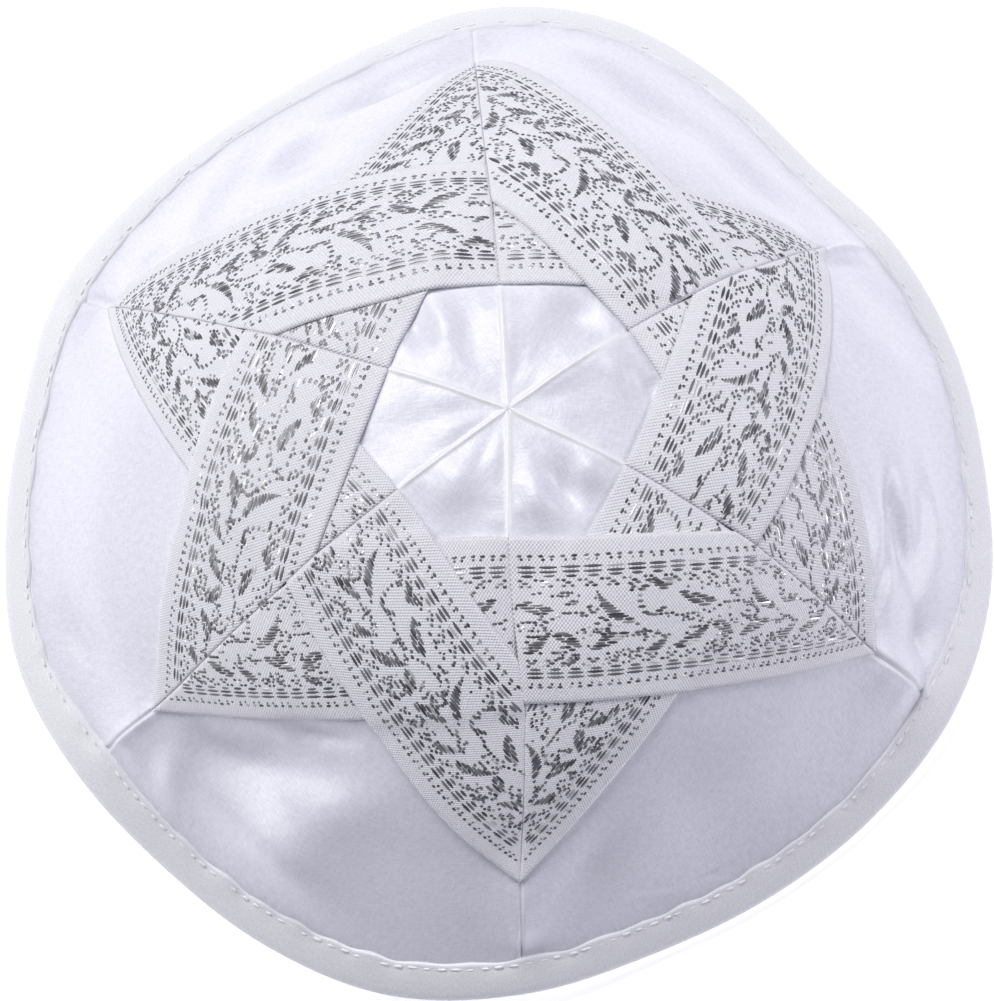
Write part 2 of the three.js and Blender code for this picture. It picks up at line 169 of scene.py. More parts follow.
class CapForm:
    """The cap's surface, worked out from its sizes, in metres in the frame's place."""

    def __init__(self, sizes):
        self.s = s = sizes
        steps = 400
        middle = (np.arange(steps) + 0.5) / steps
        slope = self.slope(middle)
        self.at = np.linspace(0, 1, steps + 1)
        self.out = np.concatenate([[0], np.cumsum(np.cos(slope)) / steps])
        self.down = np.concatenate([[0], np.cumsum(np.sin(slope)) / steps])
        self.edge = s.lay_gap + s.binding_wall
        rim = self.slope(1.0)
        self.radius = s.rim_radius - self.edge * (math.cos(rim) + 0.5 * math.sin(rim))
        height = (s.gore_wall + self.edge) * math.cos(rim) - s.rest_flat
        self.drop = s.cap_height - height
        self.length = self.radius / self.out[-1]
        self.dome = (self.radius ** 2 + s.cap_height ** 2) / (2 * s.cap_height)
        self.middle, self.creased = np.zeros(3), False
        self.middle, self.creased = self.box_middle(), True
        self.even = {"opening": s.star_opening, "crossing": s.star_opening + s.ribbon_width}
        for far, near in (("corner", "opening"), ("point", "crossing")):
            flat = self.dome * math.tan(self.even[near] / self.dome) / math.cos(PANEL)
            self.even[far] = self.dome * math.atan(flat / self.dome)

    def slope(self, share):
        return np.radians(np.interp(share, MERIDIAN["share"], MERIDIAN["slope"]))

    def lean(self, share):
        slope = self.slope(np.clip(share, 0, 1))
        return np.arctan2(np.sin(slope) / self.down[-1] * self.drop,
                          np.cos(slope) / self.out[-1] * self.radius)

    def sway(self, turns, share):
        marks = [around(SEAMS[k], turns) for k in ("turn_in", "turn_mid", "turn_tip", "turn_rim")]
        turn = marks[0]
        for low, high, before, after in zip(STAR_SHARE, STAR_SHARE[1:], marks, marks[1:]):
            turn = turn + (after - before) * np.clip((share - low) / (high - low), 0, 1)
        return np.radians(turn)

    def seam_relief(self, angle, share, radius):
        nearest = np.round(angle / PANEL)
        seam = nearest.astype(int) % GORES
        crown, star, skirt = (np.asarray(SEAMS[k], float)[seam] for k in ("crown", "star", "skirt"))
        away = np.abs(angle - nearest * PANEL) * radius
        height = (crown + (star - crown) * in_zone(share, "star")
                  + (skirt - star) * in_zone(share, "skirt"))
        fade = in_zone(share, "seam_in") * (1 - in_zone(share, "seam_out"))
        return self.s.seam_relief * height * fade * np.exp(-(away / self.s.seam_spread) ** 2)

    def fold_relief(self, angle, share):
        height = 0 * share
        for place, at, across, along, depth in FOLDS:
            x = angle / PANEL - place
            x = x - GORES * np.round(x / GORES)
            height += depth * np.exp(-(x / across) ** 2 - ((share - at) / along) ** 2)
        return self.s.fold_depth * height

    def creases(self, angle, share):
        """The small folds and the soft waviness of the satin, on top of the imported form."""
        height = self.s.drape * sum(np.sin(across * angle + down * share + phase)
                                    for across, down, phase in DRAPE_WAVES)
        for place, at, turn, long, wide, rise in CREASES:
            x = angle / PANEL - place
            x = (x - GORES * np.round(x / GORES)) * PANEL * self.plan(share)
            y = (share - at) * self.length
            c, s = math.cos(math.radians(turn)), math.sin(math.radians(turn))
            along, across = (x * c + y * s) / (long * MM), (y * c - x * s) / (wide * MM)
            height += rise * MM * np.exp(-along ** 2 - across ** 2)
        return height * in_zone(share, "crease_in") * (1 - in_zone(share, "crease_out"))

    def plan(self, share):
        return self.radius * np.interp(share, self.at, self.out) / self.out[-1]

    def cloth(self, angle, share, height):
        """Points of the cloth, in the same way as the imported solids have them."""
        angle, share, height = np.broadcast_arrays(
            np.asarray(angle, float), np.asarray(share, float), np.asarray(height, float))
        turns = angle / (2 * math.pi)
        reach = 1 + (around(RIM["reach"], turns) - 1) * in_zone(share, "reach")
        lift = self.s.seam_lift * around(RIM["lift"], turns) * in_zone(share, "lift")
        slope = self.lean(share)
        past = np.maximum(share - 1, 0) * self.length
        plan = self.plan(share) * reach
        off = height + self.seam_relief(angle, share, plan) + self.fold_relief(angle, share)
        if self.creased:
            off = off + self.creases(angle, share)
        radius = plan + off * np.sin(slope) + past * np.cos(slope)
        fall = np.interp(share, self.at, self.down) / self.down[-1]
        z = self.s.cap_height - self.drop * fall + lift + off * np.cos(slope) - past * np.sin(slope)
        way = math.radians(90 + self.s.star_turn) + angle + self.sway(turns, share)
        return np.stack([radius * np.cos(way), radius * np.sin(way), z], -1) - self.middle

    def box_middle(self):
        """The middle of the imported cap's box from the crown's axis. The line round the outside
        of the binding's fold sets it."""
        gap = np.arcsin(self.s.seam_gap / 2 / self.radius)
        angle = np.concatenate([g * PANEL + gap + np.array(COLUMNS) * (PANEL - 2 * gap)
                                for g in range(GORES)])[:, None]
        along = np.array([0, 0.8, 1, 1]) * self.edge
        height = np.array([self.edge, 0.6 * self.edge, 0, -self.s.gore_wall])
        points = self.cloth(angle, 1 + along / self.length, height).reshape(-1, 3)
        middle = (points.min(0) + points.max(0)) / 2
        return np.array([middle[0], middle[1], 0])

    def star_point(self, seam, mark, direction):
        far = self.dome * math.tan(self.even[mark] * SEAMS[mark][seam % GORES] / self.dome)
        return np.array([far * math.cos(direction), far * math.sin(direction)])

    def strip_corners(self, number, over):
        near, far = (number, number + 1) if over else (number + 1, number)
        near_angle, far_angle = (0, PANEL) if over else (PANEL, 0)
        return (self.star_point(near, "opening", near_angle),
                self.star_point(near, "crossing", near_angle),
                self.star_point(far, "corner", far_angle),
                self.star_point(far, "point", far_angle))

    def strip_length(self, number, over, across):
        near_in, near_out, far_in, far_out = self.strip_corners(number, over)
        inner, outer = np.linalg.norm(far_in - near_in), np.linalg.norm(far_out - near_out)
        return inner + (outer - inner) * np.asarray(across, float)

    def outer_edge(self, number, over, s):
        """Points of a strip's outer edge, which swells between its ends."""
        _, near, _, far = self.strip_corners(number, over)
        way = far - near
        out = np.array([way[1], -way[0]]) if over else np.array([-way[1], way[0]])
        bow = self.s.edge_bow * SEAMS["bow_over" if over else "bow_under"][number]
        swell = bow * 4 * s * (1 - s) / np.linalg.norm(way)
        return near + way * s + out * swell

    def crossing_rise(self, number, plane):
        """How far the over strip rises to pass the under strip, from 0 to 1."""
        near_in, near_out, far_in, far_out = self.strip_corners(number, False)

        def side(start, end):
            way = (end - start) / np.linalg.norm(end - start)
            away = plane - start
            return way[0] * away[..., 1] - way[1] * away[..., 0]

        way = far_out - near_out
        s = np.clip((plane - near_out) @ way / (way @ way), 0, 1)[..., None]
        swell = np.linalg.norm(self.outer_edge(number, False, s) - near_out - way * s, axis=-1)
        outside = np.maximum(side(near_out, far_out) - swell, -side(near_in, far_in))
        return 1 - smooth(outside, *(fade * MM for fade in CROSSING_FADE))

    def strip(self, number, over, along, across, height):
        """Points of a ribbon strip: along from its near seam, across from its inner edge."""
        near_in, _, far_in, _ = self.strip_corners(number, over)
        along, across, height = np.broadcast_arrays(
            np.asarray(along, float), np.asarray(across, float), np.asarray(height, float))
        s, v = along[..., None], across[..., None]
        inner, outer = near_in + (far_in - near_in) * s, self.outer_edge(number, over, s)
        plane = inner + (outer - inner) * v
        far = np.linalg.norm(plane, axis=-1)
        share = self.dome * np.arctan(far / self.dome) / self.length
        angle = number * PANEL + np.arctan2(plane[..., 1], plane[..., 0])
        lay = self.s.lay_gap + height
        if over:
            lay = lay + self.s.crossing_rise * self.crossing_rise(number, plane)
        return self.cloth(angle, share, lay)


def strips():
    """Every strip of the star: its gore, whether it lies over the other, and the word for that."""
    for number in range(GORES):
        for over, word in ((False, "under"), (True, "over")):
            yield number, over, word


def make_object(name, mesh, finish):
    piece = bpy.data.objects.new(name, mesh)
    bpy.context.scene.collection.objects.link(piece)
    mesh.materials.append(finish)
    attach(piece, "root")
    return piece


def mesh_points(mesh):
    points = np.empty(len(mesh.vertices) * 3)
    mesh.vertices.foreach_get("co", points)
    return points.reshape(-1, 3)


def move_points(mesh, points):
    mesh.vertices.foreach_set("co", np.ascontiguousarray(points, np.float32).ravel())
    mesh.update()


def set_uv(mesh, uv):
    """Gives every corner the cloth coordinates of its point, in metres of cloth."""
    layer = mesh.uv_layers.new(name=CLOTH_MAP)
    corner = np.empty(len(mesh.loops), int)
    mesh.loops.foreach_get("vertex_index", corner)
    layer.data.foreach_set("uv", np.ascontiguousarray(uv[corner], np.float32).ravel())


def set_values(mesh, name, values):
    """Gives every point its value under that name, for the finish to read."""
    layer = mesh.attributes.new(name, "FLOAT", "POINT")
    layer.data.foreach_set("value", values.astype(np.float32))


def face_up(mesh):
    """Turns an open sheet's faces outwards, which for the cap is upwards on the whole."""
    normals = np.empty(len(mesh.polygons) * 3)
    mesh.polygons.foreach_get("normal", normals)
    if normals.reshape(-1, 3)[:, 2].sum() < 0:
        mesh.flip_normals()


def as_mesh(name, bm):
    mesh = bpy.data.meshes.new(name)
    bm.to_mesh(mesh)
    bm.free()
    return mesh


def grid_mesh(name, columns, rows):
    """A flat grid from 0 to 1 both ways."""
    bm = bmesh.new()
    bmesh.ops.create_grid(bm, x_segments=columns, y_segments=rows, size=0.5)
    bmesh.ops.translate(bm, verts=bm.verts, vec=(0.5, 0.5, 0))
    mesh = as_mesh(name, bm)
    mesh.shade_smooth()
    return mesh


def copies(name, one, count):
    """A mesh of many copies of a small mesh, which is used up, and the small one's points."""
    shape = mesh_points(one)
    bm = bmesh.new()
    for _ in range(count):
        bm.from_mesh(one)
    bpy.data.meshes.remove(one)
    return as_mesh(name, bm), shape


def add_wall(piece, thickness):
    wall = piece.modifiers.new("Wall", "SOLIDIFY")
    wall.thickness = thickness
    wall.offset = -1


def node(tree, kind, place, **values):
    made = tree.nodes.new(kind)
    made.location = place
    for key, value in values.items():
        if key in made.inputs:
            made.inputs[key].default_value = value
        else:
            setattr(made, key, value)
    return made


def cloth_map(tree, place):
    return node(tree, "ShaderNodeUVMap", place, uv_map=CLOTH_MAP).outputs["UV"]


def maths(tree, operation, place, *values):
    """The result for some sockets and plain numbers."""
    made = node(tree, "ShaderNodeMath", place, operation=operation)
    for socket, value in zip(made.inputs, values):
        if isinstance(value, float):
            socket.default_value = value
        else:
            tree.links.new(value, socket)
    return made.outputs[0]


def noise(tree, place, vector, scale, detail=3.0):
    made = node(tree, "ShaderNodeTexNoise", place, Scale=scale, Detail=detail)
    tree.links.new(vector, made.inputs["Vector"])
    return made.outputs["Fac"]


def stretched_noise(tree, place, vector, scale, turn=0.0):
    """Noise whose scale is not the same along the cloth as across it."""
    stretch = node(tree, "ShaderNodeMapping", place, Scale=scale, Rotation=(0, 0, turn))
    tree.links.new(vector, stretch.inputs["Vector"])
    return noise(tree, (place[0] + 200, place[1]), stretch.outputs["Vector"], 1.0)


def dark(colour, share):
    return [c * share for c in colour]


def ramp(tree, place, factor, *stops):
    """The colour between the stops, each a position and a colour, for that factor."""
    made = node(tree, "ShaderNodeValToRGB", place)
    elements = made.color_ramp.elements
    for element, (position, colour) in ((elements[0], stops[0]), (elements[1], stops[-1])):
        element.position, element.color = position, (*colour, 1)
    for position, colour in stops[1:-1]:
        elements.new(position).color = (*colour, 1)
    tree.links.new(factor, made.inputs["Fac"])
    return made.outputs["Color"]


def bump(tree, place, height, strength, distance, under=None):
    """The normal of a bumpy surface, on top of another one's where that is given."""
    made = node(tree, "ShaderNodeBump", place, Strength=strength, Distance=distance)
    tree.links.new(height, made.inputs["Height"])
    if under is not None:
        tree.links.new(under, made.inputs["Normal"])
    return made.outputs["Normal"]


def new_finish(name, **values):
    """A Principled finish with its plain numbers set on the shader's own sockets."""
    finish = bpy.data.materials.new(name)
    finish.use_nodes = True
    tree = finish.node_tree
    shader = tree.nodes["Principled BSDF"]
    for key, value in values.items():
        shader.inputs[key.replace("_", " ")].default_value = value
    return finish, tree, shader


def satin_finish(colour):
    """Satin with its fine grain along the cloth, a soft waviness, and a painted highlight that
    makes it paler along the seams.
    """
    finish, tree, shader = new_finish(
        "satin_cloth", Roughness=0.4, Sheen_Weight=0.2, Sheen_Roughness=0.4, Specular_IOR_Level=0.9)
    uv = cloth_map(tree, (-1400, 0))
    grains = [stretched_noise(tree, (-1200, place), uv, scale)
              for scale, place in (((3000, 500, 1), 100), ((700, 2600, 1), -200))]
    grain = maths(tree, "MULTIPLY", (-650, 0), maths(tree, "ADD", (-800, 0), *grains), 0.5)
    tint = ramp(tree, (-480, 200), grain, (0.34, dark(colour, 0.86)), (0.62, colour))
    # Painted highlight: by the seam values, the satin is mixed towards near white along the seam
    # lines.
    seam = node(tree, "ShaderNodeAttribute", (-480, 450), attribute_name="seam")
    pale = node(tree, "ShaderNodeMix", (-180, 250), data_type="RGBA")
    before, after = (next(i for i in pale.inputs if i.name == n and i.type == "RGBA") for n in "AB")
    after.default_value = (0.97, 0.97, 0.99, 1)
    tree.links.new(seam.outputs["Fac"], pale.inputs["Factor"])
    tree.links.new(tint, before)
    tree.links.new(next(o for o in pale.outputs if o.type == "RGBA"), shader.inputs["Base Color"])
    weave = bump(tree, (-480, -100), grain, 0.35, 0.0002)
    soft = noise(tree, (-800, -400), uv, 140.0)
    tree.links.new(bump(tree, (-280, -250), soft, 0.16, 0.002, weave), shader.inputs["Normal"])
    return finish


def ribbon_finish(colour):
    """A ribbed ground. The cloth map runs along the ribbon, and across it from its inner edge."""
    finish, tree, shader = new_finish("brocade_cloth", Roughness=0.62, Sheen_Weight=0.15,
                                      Specular_IOR_Level=0.35)
    uv = cloth_map(tree, (-1400, 0))
    parts = node(tree, "ShaderNodeSeparateXYZ", (-1200, 0))
    tree.links.new(uv, parts.inputs["Vector"])
    ribs = []
    for axis, pitch, place in (("X", 0.64, 100), ("Y", 0.72, -100)):
        turn = maths(tree, "MULTIPLY", (-1000, place), parts.outputs[axis],
                     2 * math.pi / (pitch * MM))
        ribs.append(maths(tree, "SINE", (-820, place), turn))
    both = maths(tree, "MULTIPLY", (-600, 0), *ribs)
    rough = maths(tree, "ADD", (-400, -50), both, noise(tree, (-800, -350), uv, 1500.0))
    tint = ramp(tree, (-300, 250), rough, (0.1, dark(colour, 0.84)), (0.85, colour))
    tree.links.new(tint, shader.inputs["Base Color"])
    tree.links.new(bump(tree, (-200, -100), rough, 0.42, 0.00022), shader.inputs["Normal"])
    return finish


def silver_finish(colour):
    """Thread whose floats differ in tone at random; the few with the highest values carry a painted
    glint.
    """
    finish, tree, shader = new_finish("silver_thread", Roughness=0.36, Metallic=0.4)
    shine = node(tree, "ShaderNodeAttribute", (-600, 0), attribute_name="shine")
    # Painted glint: the top of the ramp turns the floats with the highest values near white.
    tint = ramp(tree, (-300, 0), shine.outputs["Fac"],
                (0.0, dark(colour, 0.3)), (0.88, colour), (1.0, (0.95, 0.95, 0.93)))
    tree.links.new(tint, shader.inputs["Base Color"])
    return finish


def tape_finish(colour):
    """Satin cut on the bias."""
    finish, tree, shader = new_finish("tape_cloth", Roughness=0.45, Sheen_Weight=0.2,
                                      Specular_IOR_Level=0.4)
    uv = cloth_map(tree, (-1200, 0))
    grain = stretched_noise(tree, (-1000, 0), uv, (3600, 2000, 1), math.radians(45))
    tint = ramp(tree, (-500, 200), grain, (0.25, dark(colour, 0.86)), (0.65, colour))
    tree.links.new(tint, shader.inputs["Base Color"])
    tree.links.new(bump(tree, (-300, -100), grain, 0.3, 0.0002), shader.inputs["Normal"])
    return finish


def thread_finish(colour):
    finish, tree, shader = new_finish("sewing_thread", Roughness=0.5, Sheen_Weight=0.2)
    place = node(tree, "ShaderNodeTexCoord", (-900, 0)).outputs["Object"]
    twist = noise(tree, (-650, 0), place, 2200.0, 2.0)
    tint = ramp(tree, (-400, 150), twist, (0.35, dark(colour, 0.9)), (0.65, colour))
    tree.links.new(tint, shader.inputs["Base Color"])
    tree.links.new(bump(tree, (-300, -100), twist, 0.5, 0.0001), shader.inputs["Normal"])
    return finish


def length(name, description, default):
    return bpy.props.FloatProperty(name=name, description=description, default=default,
                                   unit="LENGTH", precision=5)


def colour(name, description, default):
    return bpy.props.FloatVectorProperty(name=name, description=description, default=default,
                                         subtype="COLOR", min=0, max=1)


class SKULLCAP_PG_sizes(bpy.types.PropertyGroup):
    """Sizes of the cap, in metres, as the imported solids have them, and of what dresses it."""
    rim_radius: length("Rim radius", "Mean radius of the rim", 0.0883)
    cap_height: length("Cap height", "Height of the crown over the floor", 0.047)
    gore_wall: length("Gore wall", "Thickness of a packed gore", 0.001)
    ribbon_width: length("Ribbon width", "Width of the brocade ribbon", 0.0255)
    star_opening: length("Star opening", "From the crown to the star's opening", 0.0222)
    binding_wall: length("Binding wall", "Thickness of the packed binding's wall", 0.001)
    binding_width: length("Binding width", "Width of the folded tape", 0.0058)
    seam_gap: length("Seam gap", "Gap between packed gores", 0.0003)
    lay_gap: length("Lay gap", "Gap under a strip that lies on the gores", 0.0003)
    seam_lift: length("Seam lift", "How far the rim lifts off the floor at a seam", 0.0025)
    rest_flat: length("Rest flat", "How deep the binding is pressed where it rests", 0.00025)
    seam_relief: length("Seam relief", "Height of the ridge beside a seam", 0.0015)
    seam_spread: length("Seam spread", "Width of the ridge beside a seam", 0.005)
    fold_depth: length("Fold depth", "Depth of the deepest soft dent", 0.0025)
    drape: length("Drape", "Height of the satin's soft waviness", 0.0001)
    edge_bow: length("Edge bow", "How far a strip's outer edge swells between its ends", 0.0025)
    crossing_rise: length("Crossing rise", "How far an over strip rises at a crossing", 0.00045)
    ribbon_thickness: length("Ribbon thickness", "Thickness of the brocade ribbon", 0.0003)
    float_width: length("Float width", "Width of a silver float", 0.0006)
    stitch_pitch: length("Stitch pitch", "From one stitch of the binding to the next", 0.0026)
    star_turn: bpy.props.FloatProperty(
        name="Star turn", description="Turn of the top seam, degrees", default=3.6)


class SKULLCAP_PG_colours(bpy.types.PropertyGroup):
    """Colours of the cloths and threads."""
    satin: colour("Satin", "Colour of the gores", (0.862, 0.856, 0.95))
    ribbon: colour("Ribbon", "Colour of the brocade's ground", (0.935, 0.93, 0.98))
    silver: colour("Silver", "Colour of the silver floats", (0.33, 0.33, 0.35))
    tape: colour("Tape", "Colour of the binding", (0.9, 0.9, 0.93))
    thread: colour("Thread", "Colour of the sewing thread", (0.97, 0.97, 0.99))


def finish_for(kind):
    """The material of that kind, made the first time it is asked for."""
    colours = bpy.context.scene.skullcap_colours
    made = {"satin": ("satin_cloth", satin_finish), "ribbon": ("brocade_cloth", ribbon_finish),
            "silver": ("silver_thread", silver_finish), "tape": ("tape_cloth", tape_finish),
            "thread": ("sewing_thread", thread_finish)}
    name, make = made[kind]
    return bpy.data.materials.get(name) or make(getattr(colours, kind))


# The gores: columns and rows of their grids, how strongly the columns draw in to the seams, and
# the share of the meridian where they start. Then, in millimetres, how far they reach past the
# rim, how thick they are, and how far from a seam the painted highlight along it reaches.
GORE_GRID = (110, 120)
SEAM_DRAW = 0.93
GORE_START = 0.0015
PAST_RIM, GORE_THICKNESS, SEAM_HIGHLIGHT_WIDTH = 0.3, 0.9, 0.75

# The share of the painted seam highlight that is left below the crown.
SEAM_HIGHLIGHT_BELOW = 0.25

# In millimetres, a seam's stitched line: its half width, its rise at the crown and its depth
# below. Then the puckers beside it: height, length, how far they reach, and where they set in.
LINE_WIDTH, LINE_RISE, LINE_DEPTH = 0.42, 0.32, 0.4
PUCKER_HEIGHT, PUCKER_LENGTH, PUCKER_REACH, PUCKER_START = 0.08, 0.95, 3.4, (0.2, 1.4)


class SKULLCAP_OT_gores(bpy.types.Operator):
    """Sew the six satin gores"""
    bl_idname = "skullcap.gores"
    bl_label = "Satin gores"

    def execute(self, context):
        cap = CapForm(context.scene.skullcap_sizes)
        finish = finish_for("satin")
        for number in range(GORES):
            mesh = grid_mesh(f"gore_satin_{number + 1}", *GORE_GRID)
            flat = mesh_points(mesh)
            u, v = flat[:, 0], flat[:, 1]
            across = u - SEAM_DRAW * np.sin(2 * math.pi * u) / (2 * math.pi)
            share = GORE_START + v * (1 - GORE_START + PAST_RIM * MM / cap.length)
            angle = (number + across) * PANEL
            points = cap.cloth(angle, share, self.detail(cap, angle, share))
            move_points(mesh, points)
            face_up(mesh)
            wide = (across - 0.5) * PANEL * cap.plan(share)
            set_uv(mesh, np.stack([wide, share * cap.length], -1))
            # The seam values paint a highlight along each seam line, full at the crown and weaker
            # below.
            away = np.abs(angle / PANEL - np.round(angle / PANEL)) * PANEL * cap.plan(share)
            set_values(mesh, "seam", np.exp(-(away / (SEAM_HIGHLIGHT_WIDTH * MM)) ** 2)
                       * (1 - (1 - SEAM_HIGHLIGHT_BELOW) * in_zone(share, "seam_highlight_out")))
            piece = make_object(f"gore_satin_{number + 1}", mesh, finish)
            add_wall(piece, GORE_THICKNESS * MM)
            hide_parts(f"gore_{number + 1}")
        return {"FINISHED"}

    @staticmethod
    def detail(cap, angle, share):
        """The stitched line of each seam, raised at the crown and sunk below, and its puckers."""
        nearest = np.round(angle / PANEL)
        side = (angle - nearest * PANEL) * cap.plan(share)
        away = np.abs(side)
        crown = 1 - in_zone(share, "line_sinks")
        line = (np.exp(-(away / (LINE_WIDTH * MM)) ** 2)
                * (LINE_RISE * crown - LINE_DEPTH * (1 - crown)))
        run = share * cap.length / (PUCKER_LENGTH * MM)
        pucker = np.sin(run + 2.4 * nearest + 1.3 * np.sign(side) + 1.5 * np.sin(run / 3))
        pucker = (pucker * np.exp(-(away / (PUCKER_REACH * MM)) ** 2)
                  * smooth(away, *(start * MM for start in PUCKER_START)))
        return MM * (line + PUCKER_HEIGHT * pucker * in_zone(share, "pucker_in"))


# The strips: columns and rows of their grids. Then, in millimetres, how much thinner and how
# wide their selvages are, and how deep and over what length they sink into their mitres.
RIBBON_GRID = (96, 40)
SELVAGE_DEPTH, SELVAGE_WIDTH = 0.08, 0.3
MITRE_DEPTH, MITRE_LENGTH = 0.24, 0.5


class SKULLCAP_OT_ribbons(bpy.types.Operator):
    """Weave the twelve brocade strips of the star"""
    bl_idname = "skullcap.ribbons"
    bl_label = "Brocade strips"

    def execute(self, context):
        s = context.scene.skullcap_sizes
        cap = CapForm(s)
        finish = finish_for("ribbon")
        for number, over, word in strips():
            name = f"ribbon_{word}_{number + 1}"
            mesh = grid_mesh(name, *RIBBON_GRID)
            flat = mesh_points(mesh)
            along, across = flat[:, 0], flat[:, 1]
            long = cap.strip_length(number, over, across)
            selvage = np.minimum(across, 1 - across) * s.ribbon_width
            mitre = np.minimum(along, 1 - along) * long
            top = (s.ribbon_thickness
                   - SELVAGE_DEPTH * MM * np.exp(-(selvage / (SELVAGE_WIDTH * MM)) ** 2)
                   - MITRE_DEPTH * MM * np.exp(-(mitre / (MITRE_LENGTH * MM)) ** 2))
            move_points(mesh, cap.strip(number, over, along, across, top))
            face_up(mesh)
            set_uv(mesh, np.stack([along * long, across * s.ribbon_width], -1))
            piece = make_object(name, mesh, finish)
            add_wall(piece, s.ribbon_thickness)
            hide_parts(f"star_ribbon_{word}_{number + 1}")
        return {"FINISHED"}


# The brocade's repeat, given in millimetres along it and shares across it. A leaf is
# filled with slanted rows of floats: start, end, thickness and bow. A stem is a dotted line
# from start to end with a bow. A ring has its middle, its radius and where it starts and ends,
# in turns. A cloud of dots has its corners and how many dots it holds.
LEAVES = (
    ((2, 0.3), (8.8, 0.5), 1.5, 1.2), ((16.4, 0.345), (24, 0.42), 1.35, 0.5),
    ((0.8, 0.665), (7.8, 0.58), 1.5, -0.4), ((15.8, 0.68), (23.4, 0.535), 1.35, 0.9),
    ((23.2, 0.57), (28.4, 0.65), 1.5, -0.5), ((11.6, 0.29), (16, 0.272), 1.1, 0.4),
    ((10.2, 0.71), (14.8, 0.63), 1.3, 0.3),
)
STEMS = (
    ((12.8, 0.46), (22, 0.474), 0.5), ((22, 0.49), (29, 0.45), -0.6),
    ((8.8, 0.505), (15.6, 0.6), 0.8), ((4.6, 0.53), (0.2, 0.52), 0.3),
    ((27.6, 0.36), (25.8, 0.44), 0.4), ((8, 0.58), (12, 0.56), 0.5),
)
RINGS = (((12, 0.37), 2.5, 0.12, 0.84), ((3.2, 0.525), 1.2, 0, 1), ((25.6, 0.69), 1.3, 0, 1),
         ((20, 0.61), 1.1, 0.1, 0.9))
CLOUDS = (
    ((3.6, 0.67), (11, 0.735), 22), ((20.6, 0.3), (28.4, 0.345), 14),
    ((26, 0.36), (28.8, 0.4), 7), ((9.4, 0.56), (14.6, 0.62), 12),
    ((17.4, 0.5), (22.6, 0.545), 12), ((27.4, 0.54), (30.6, 0.6), 9),
    ((0.4, 0.4), (3.2, 0.47), 9), ((7.6, 0.285), (10.4, 0.33), 8),
    ((22.6, 0.665), (28.6, 0.725), 14), ((0, 0.295), (28.8, 0.705), 20),
)
REPEAT = 28.8

# In millimetres: from one row of floats to the next, the longest and the shortest float of a
# leaf and what is cut off its ends, the pitch and half length of a stem's dots, the pitch and
# least half length of a ring's, and the half lengths of a cloud's.
FLOAT_PITCH = 0.43
LEAF_LONGEST, LEAF_SHORTEST, LEAF_CUT = 3.6, 0.35, 0.1
STEM_PITCH, STEM_HALF = 1.15, 0.42
RING_PITCH, RING_HALF = 0.9, 0.38
CLOUD_HALF = (0.22, 0.42)

# The border on each side: its share in from the edge, the length of its repeat in millimetres,
# then where each float of one repeat starts and ends, in tenths of a millimetre.
BORDER = (
    (0.108, 1.8, ((1, 10),)),
    (0.128, 3.6, ((7, 12), (21, 26))),
    (0.171, 3.6, ((2, 32),)),
    (0.198, 3.6, ((3, 32),)),
    (0.222, 3.6, ((8, 27),)),
    (0.246, 3.6, ((2, 9), (28, 35))),
    (0.262, 3.6, ((8, 18),)),
    (0.28, 3.6, ((3, 10), (16, 24))),
)

# A float: columns and rows of its grid. Then, in millimetres, its rise over the ribbon, how deep
# its edges sink in, how far it keeps from a mitre and how far it strays along the ribbon. It
# strays across by a share of the ribbon's width.
FLOAT_GRID = (3, 2)
FLOAT_RISE, FLOAT_SINK, MITRE_ROOM, STRAY_ALONG = 0.17, 0.03, 0.3, 0.06
STRAY_ACROSS = 0.0012

# How wide and how high a float is at its ends, as a share of its middle.
TIP_WIDTH, TIP_HEIGHT = 0.6, 0.3


def leaf_rows(start, end, thickness, bow, width):
    """The rows of floats that fill a leaf, each with its start and end along the ribbon."""
    start, end = (np.array([x, share * width]) for x, share in (start, end))
    way = end - start
    side = np.array([-way[1], way[0]]) / np.linalg.norm(way)
    t, u = (g.ravel()[:, None] for g in np.meshgrid(np.linspace(0, 1, 120), np.linspace(-1, 1, 21)))
    swell = bow * 4 * t * (1 - t) + u * thickness / 2 * np.sin(math.pi * t) ** 0.85
    points = start + way * t + side * swell
    row = np.round(points[:, 1] / FLOAT_PITCH).astype(int)
    rows = []
    for k in np.unique(row):
        x = points[row == k, 0]
        low, high = x.min(), x.max()
        pieces = max(1, int(np.ceil((high - low) / LEAF_LONGEST)))
        step = (high - low) / pieces
        if step > LEAF_SHORTEST:
            rows += [(low + n * step + LEAF_CUT, low + (n + 1) * step - LEAF_CUT,
                      k * FLOAT_PITCH / width) for n in range(pieces)]
    return rows


def vine_rows(width, rng):
    """Every float of one repeat of the vine."""
    rows = []
    for start, end, thickness, bow in LEAVES:
        rows += leaf_rows(start, end, thickness, bow, width)
    for (x0, y0), (x1, y1), bow in STEMS:
        count = int(abs(x1 - x0) / STEM_PITCH) + 1
        for t in (np.arange(count) + 0.5) / count:
            x, y = x0 + (x1 - x0) * t, y0 + (y1 - y0) * t + bow * 4 * t * (1 - t) / width
            rows.append((x - STEM_HALF, x + STEM_HALF, y))
    for (x, y), radius, low, high in RINGS:
        for turn in np.arange(low, high, RING_PITCH / (2 * math.pi * radius)):
            cx, cy = math.cos(2 * math.pi * turn), math.sin(2 * math.pi * turn)
            half = RING_HALF + 0.4 * abs(cy) * min(radius / 2, 1)
            rows.append((x + radius * cx - half, x + radius * cx + half, y + radius * cy / width))
    for (x0, y0), (x1, y1), count in CLOUDS:
        for _ in range(count):
            x, y, half = rng.uniform(x0, x1), rng.uniform(y0, y1), rng.uniform(*CLOUD_HALF)
            rows.append((x - half, x + half, y))
    return [(a, b, np.round(y * width / FLOAT_PITCH) * FLOAT_PITCH / width) for a, b, y in rows]


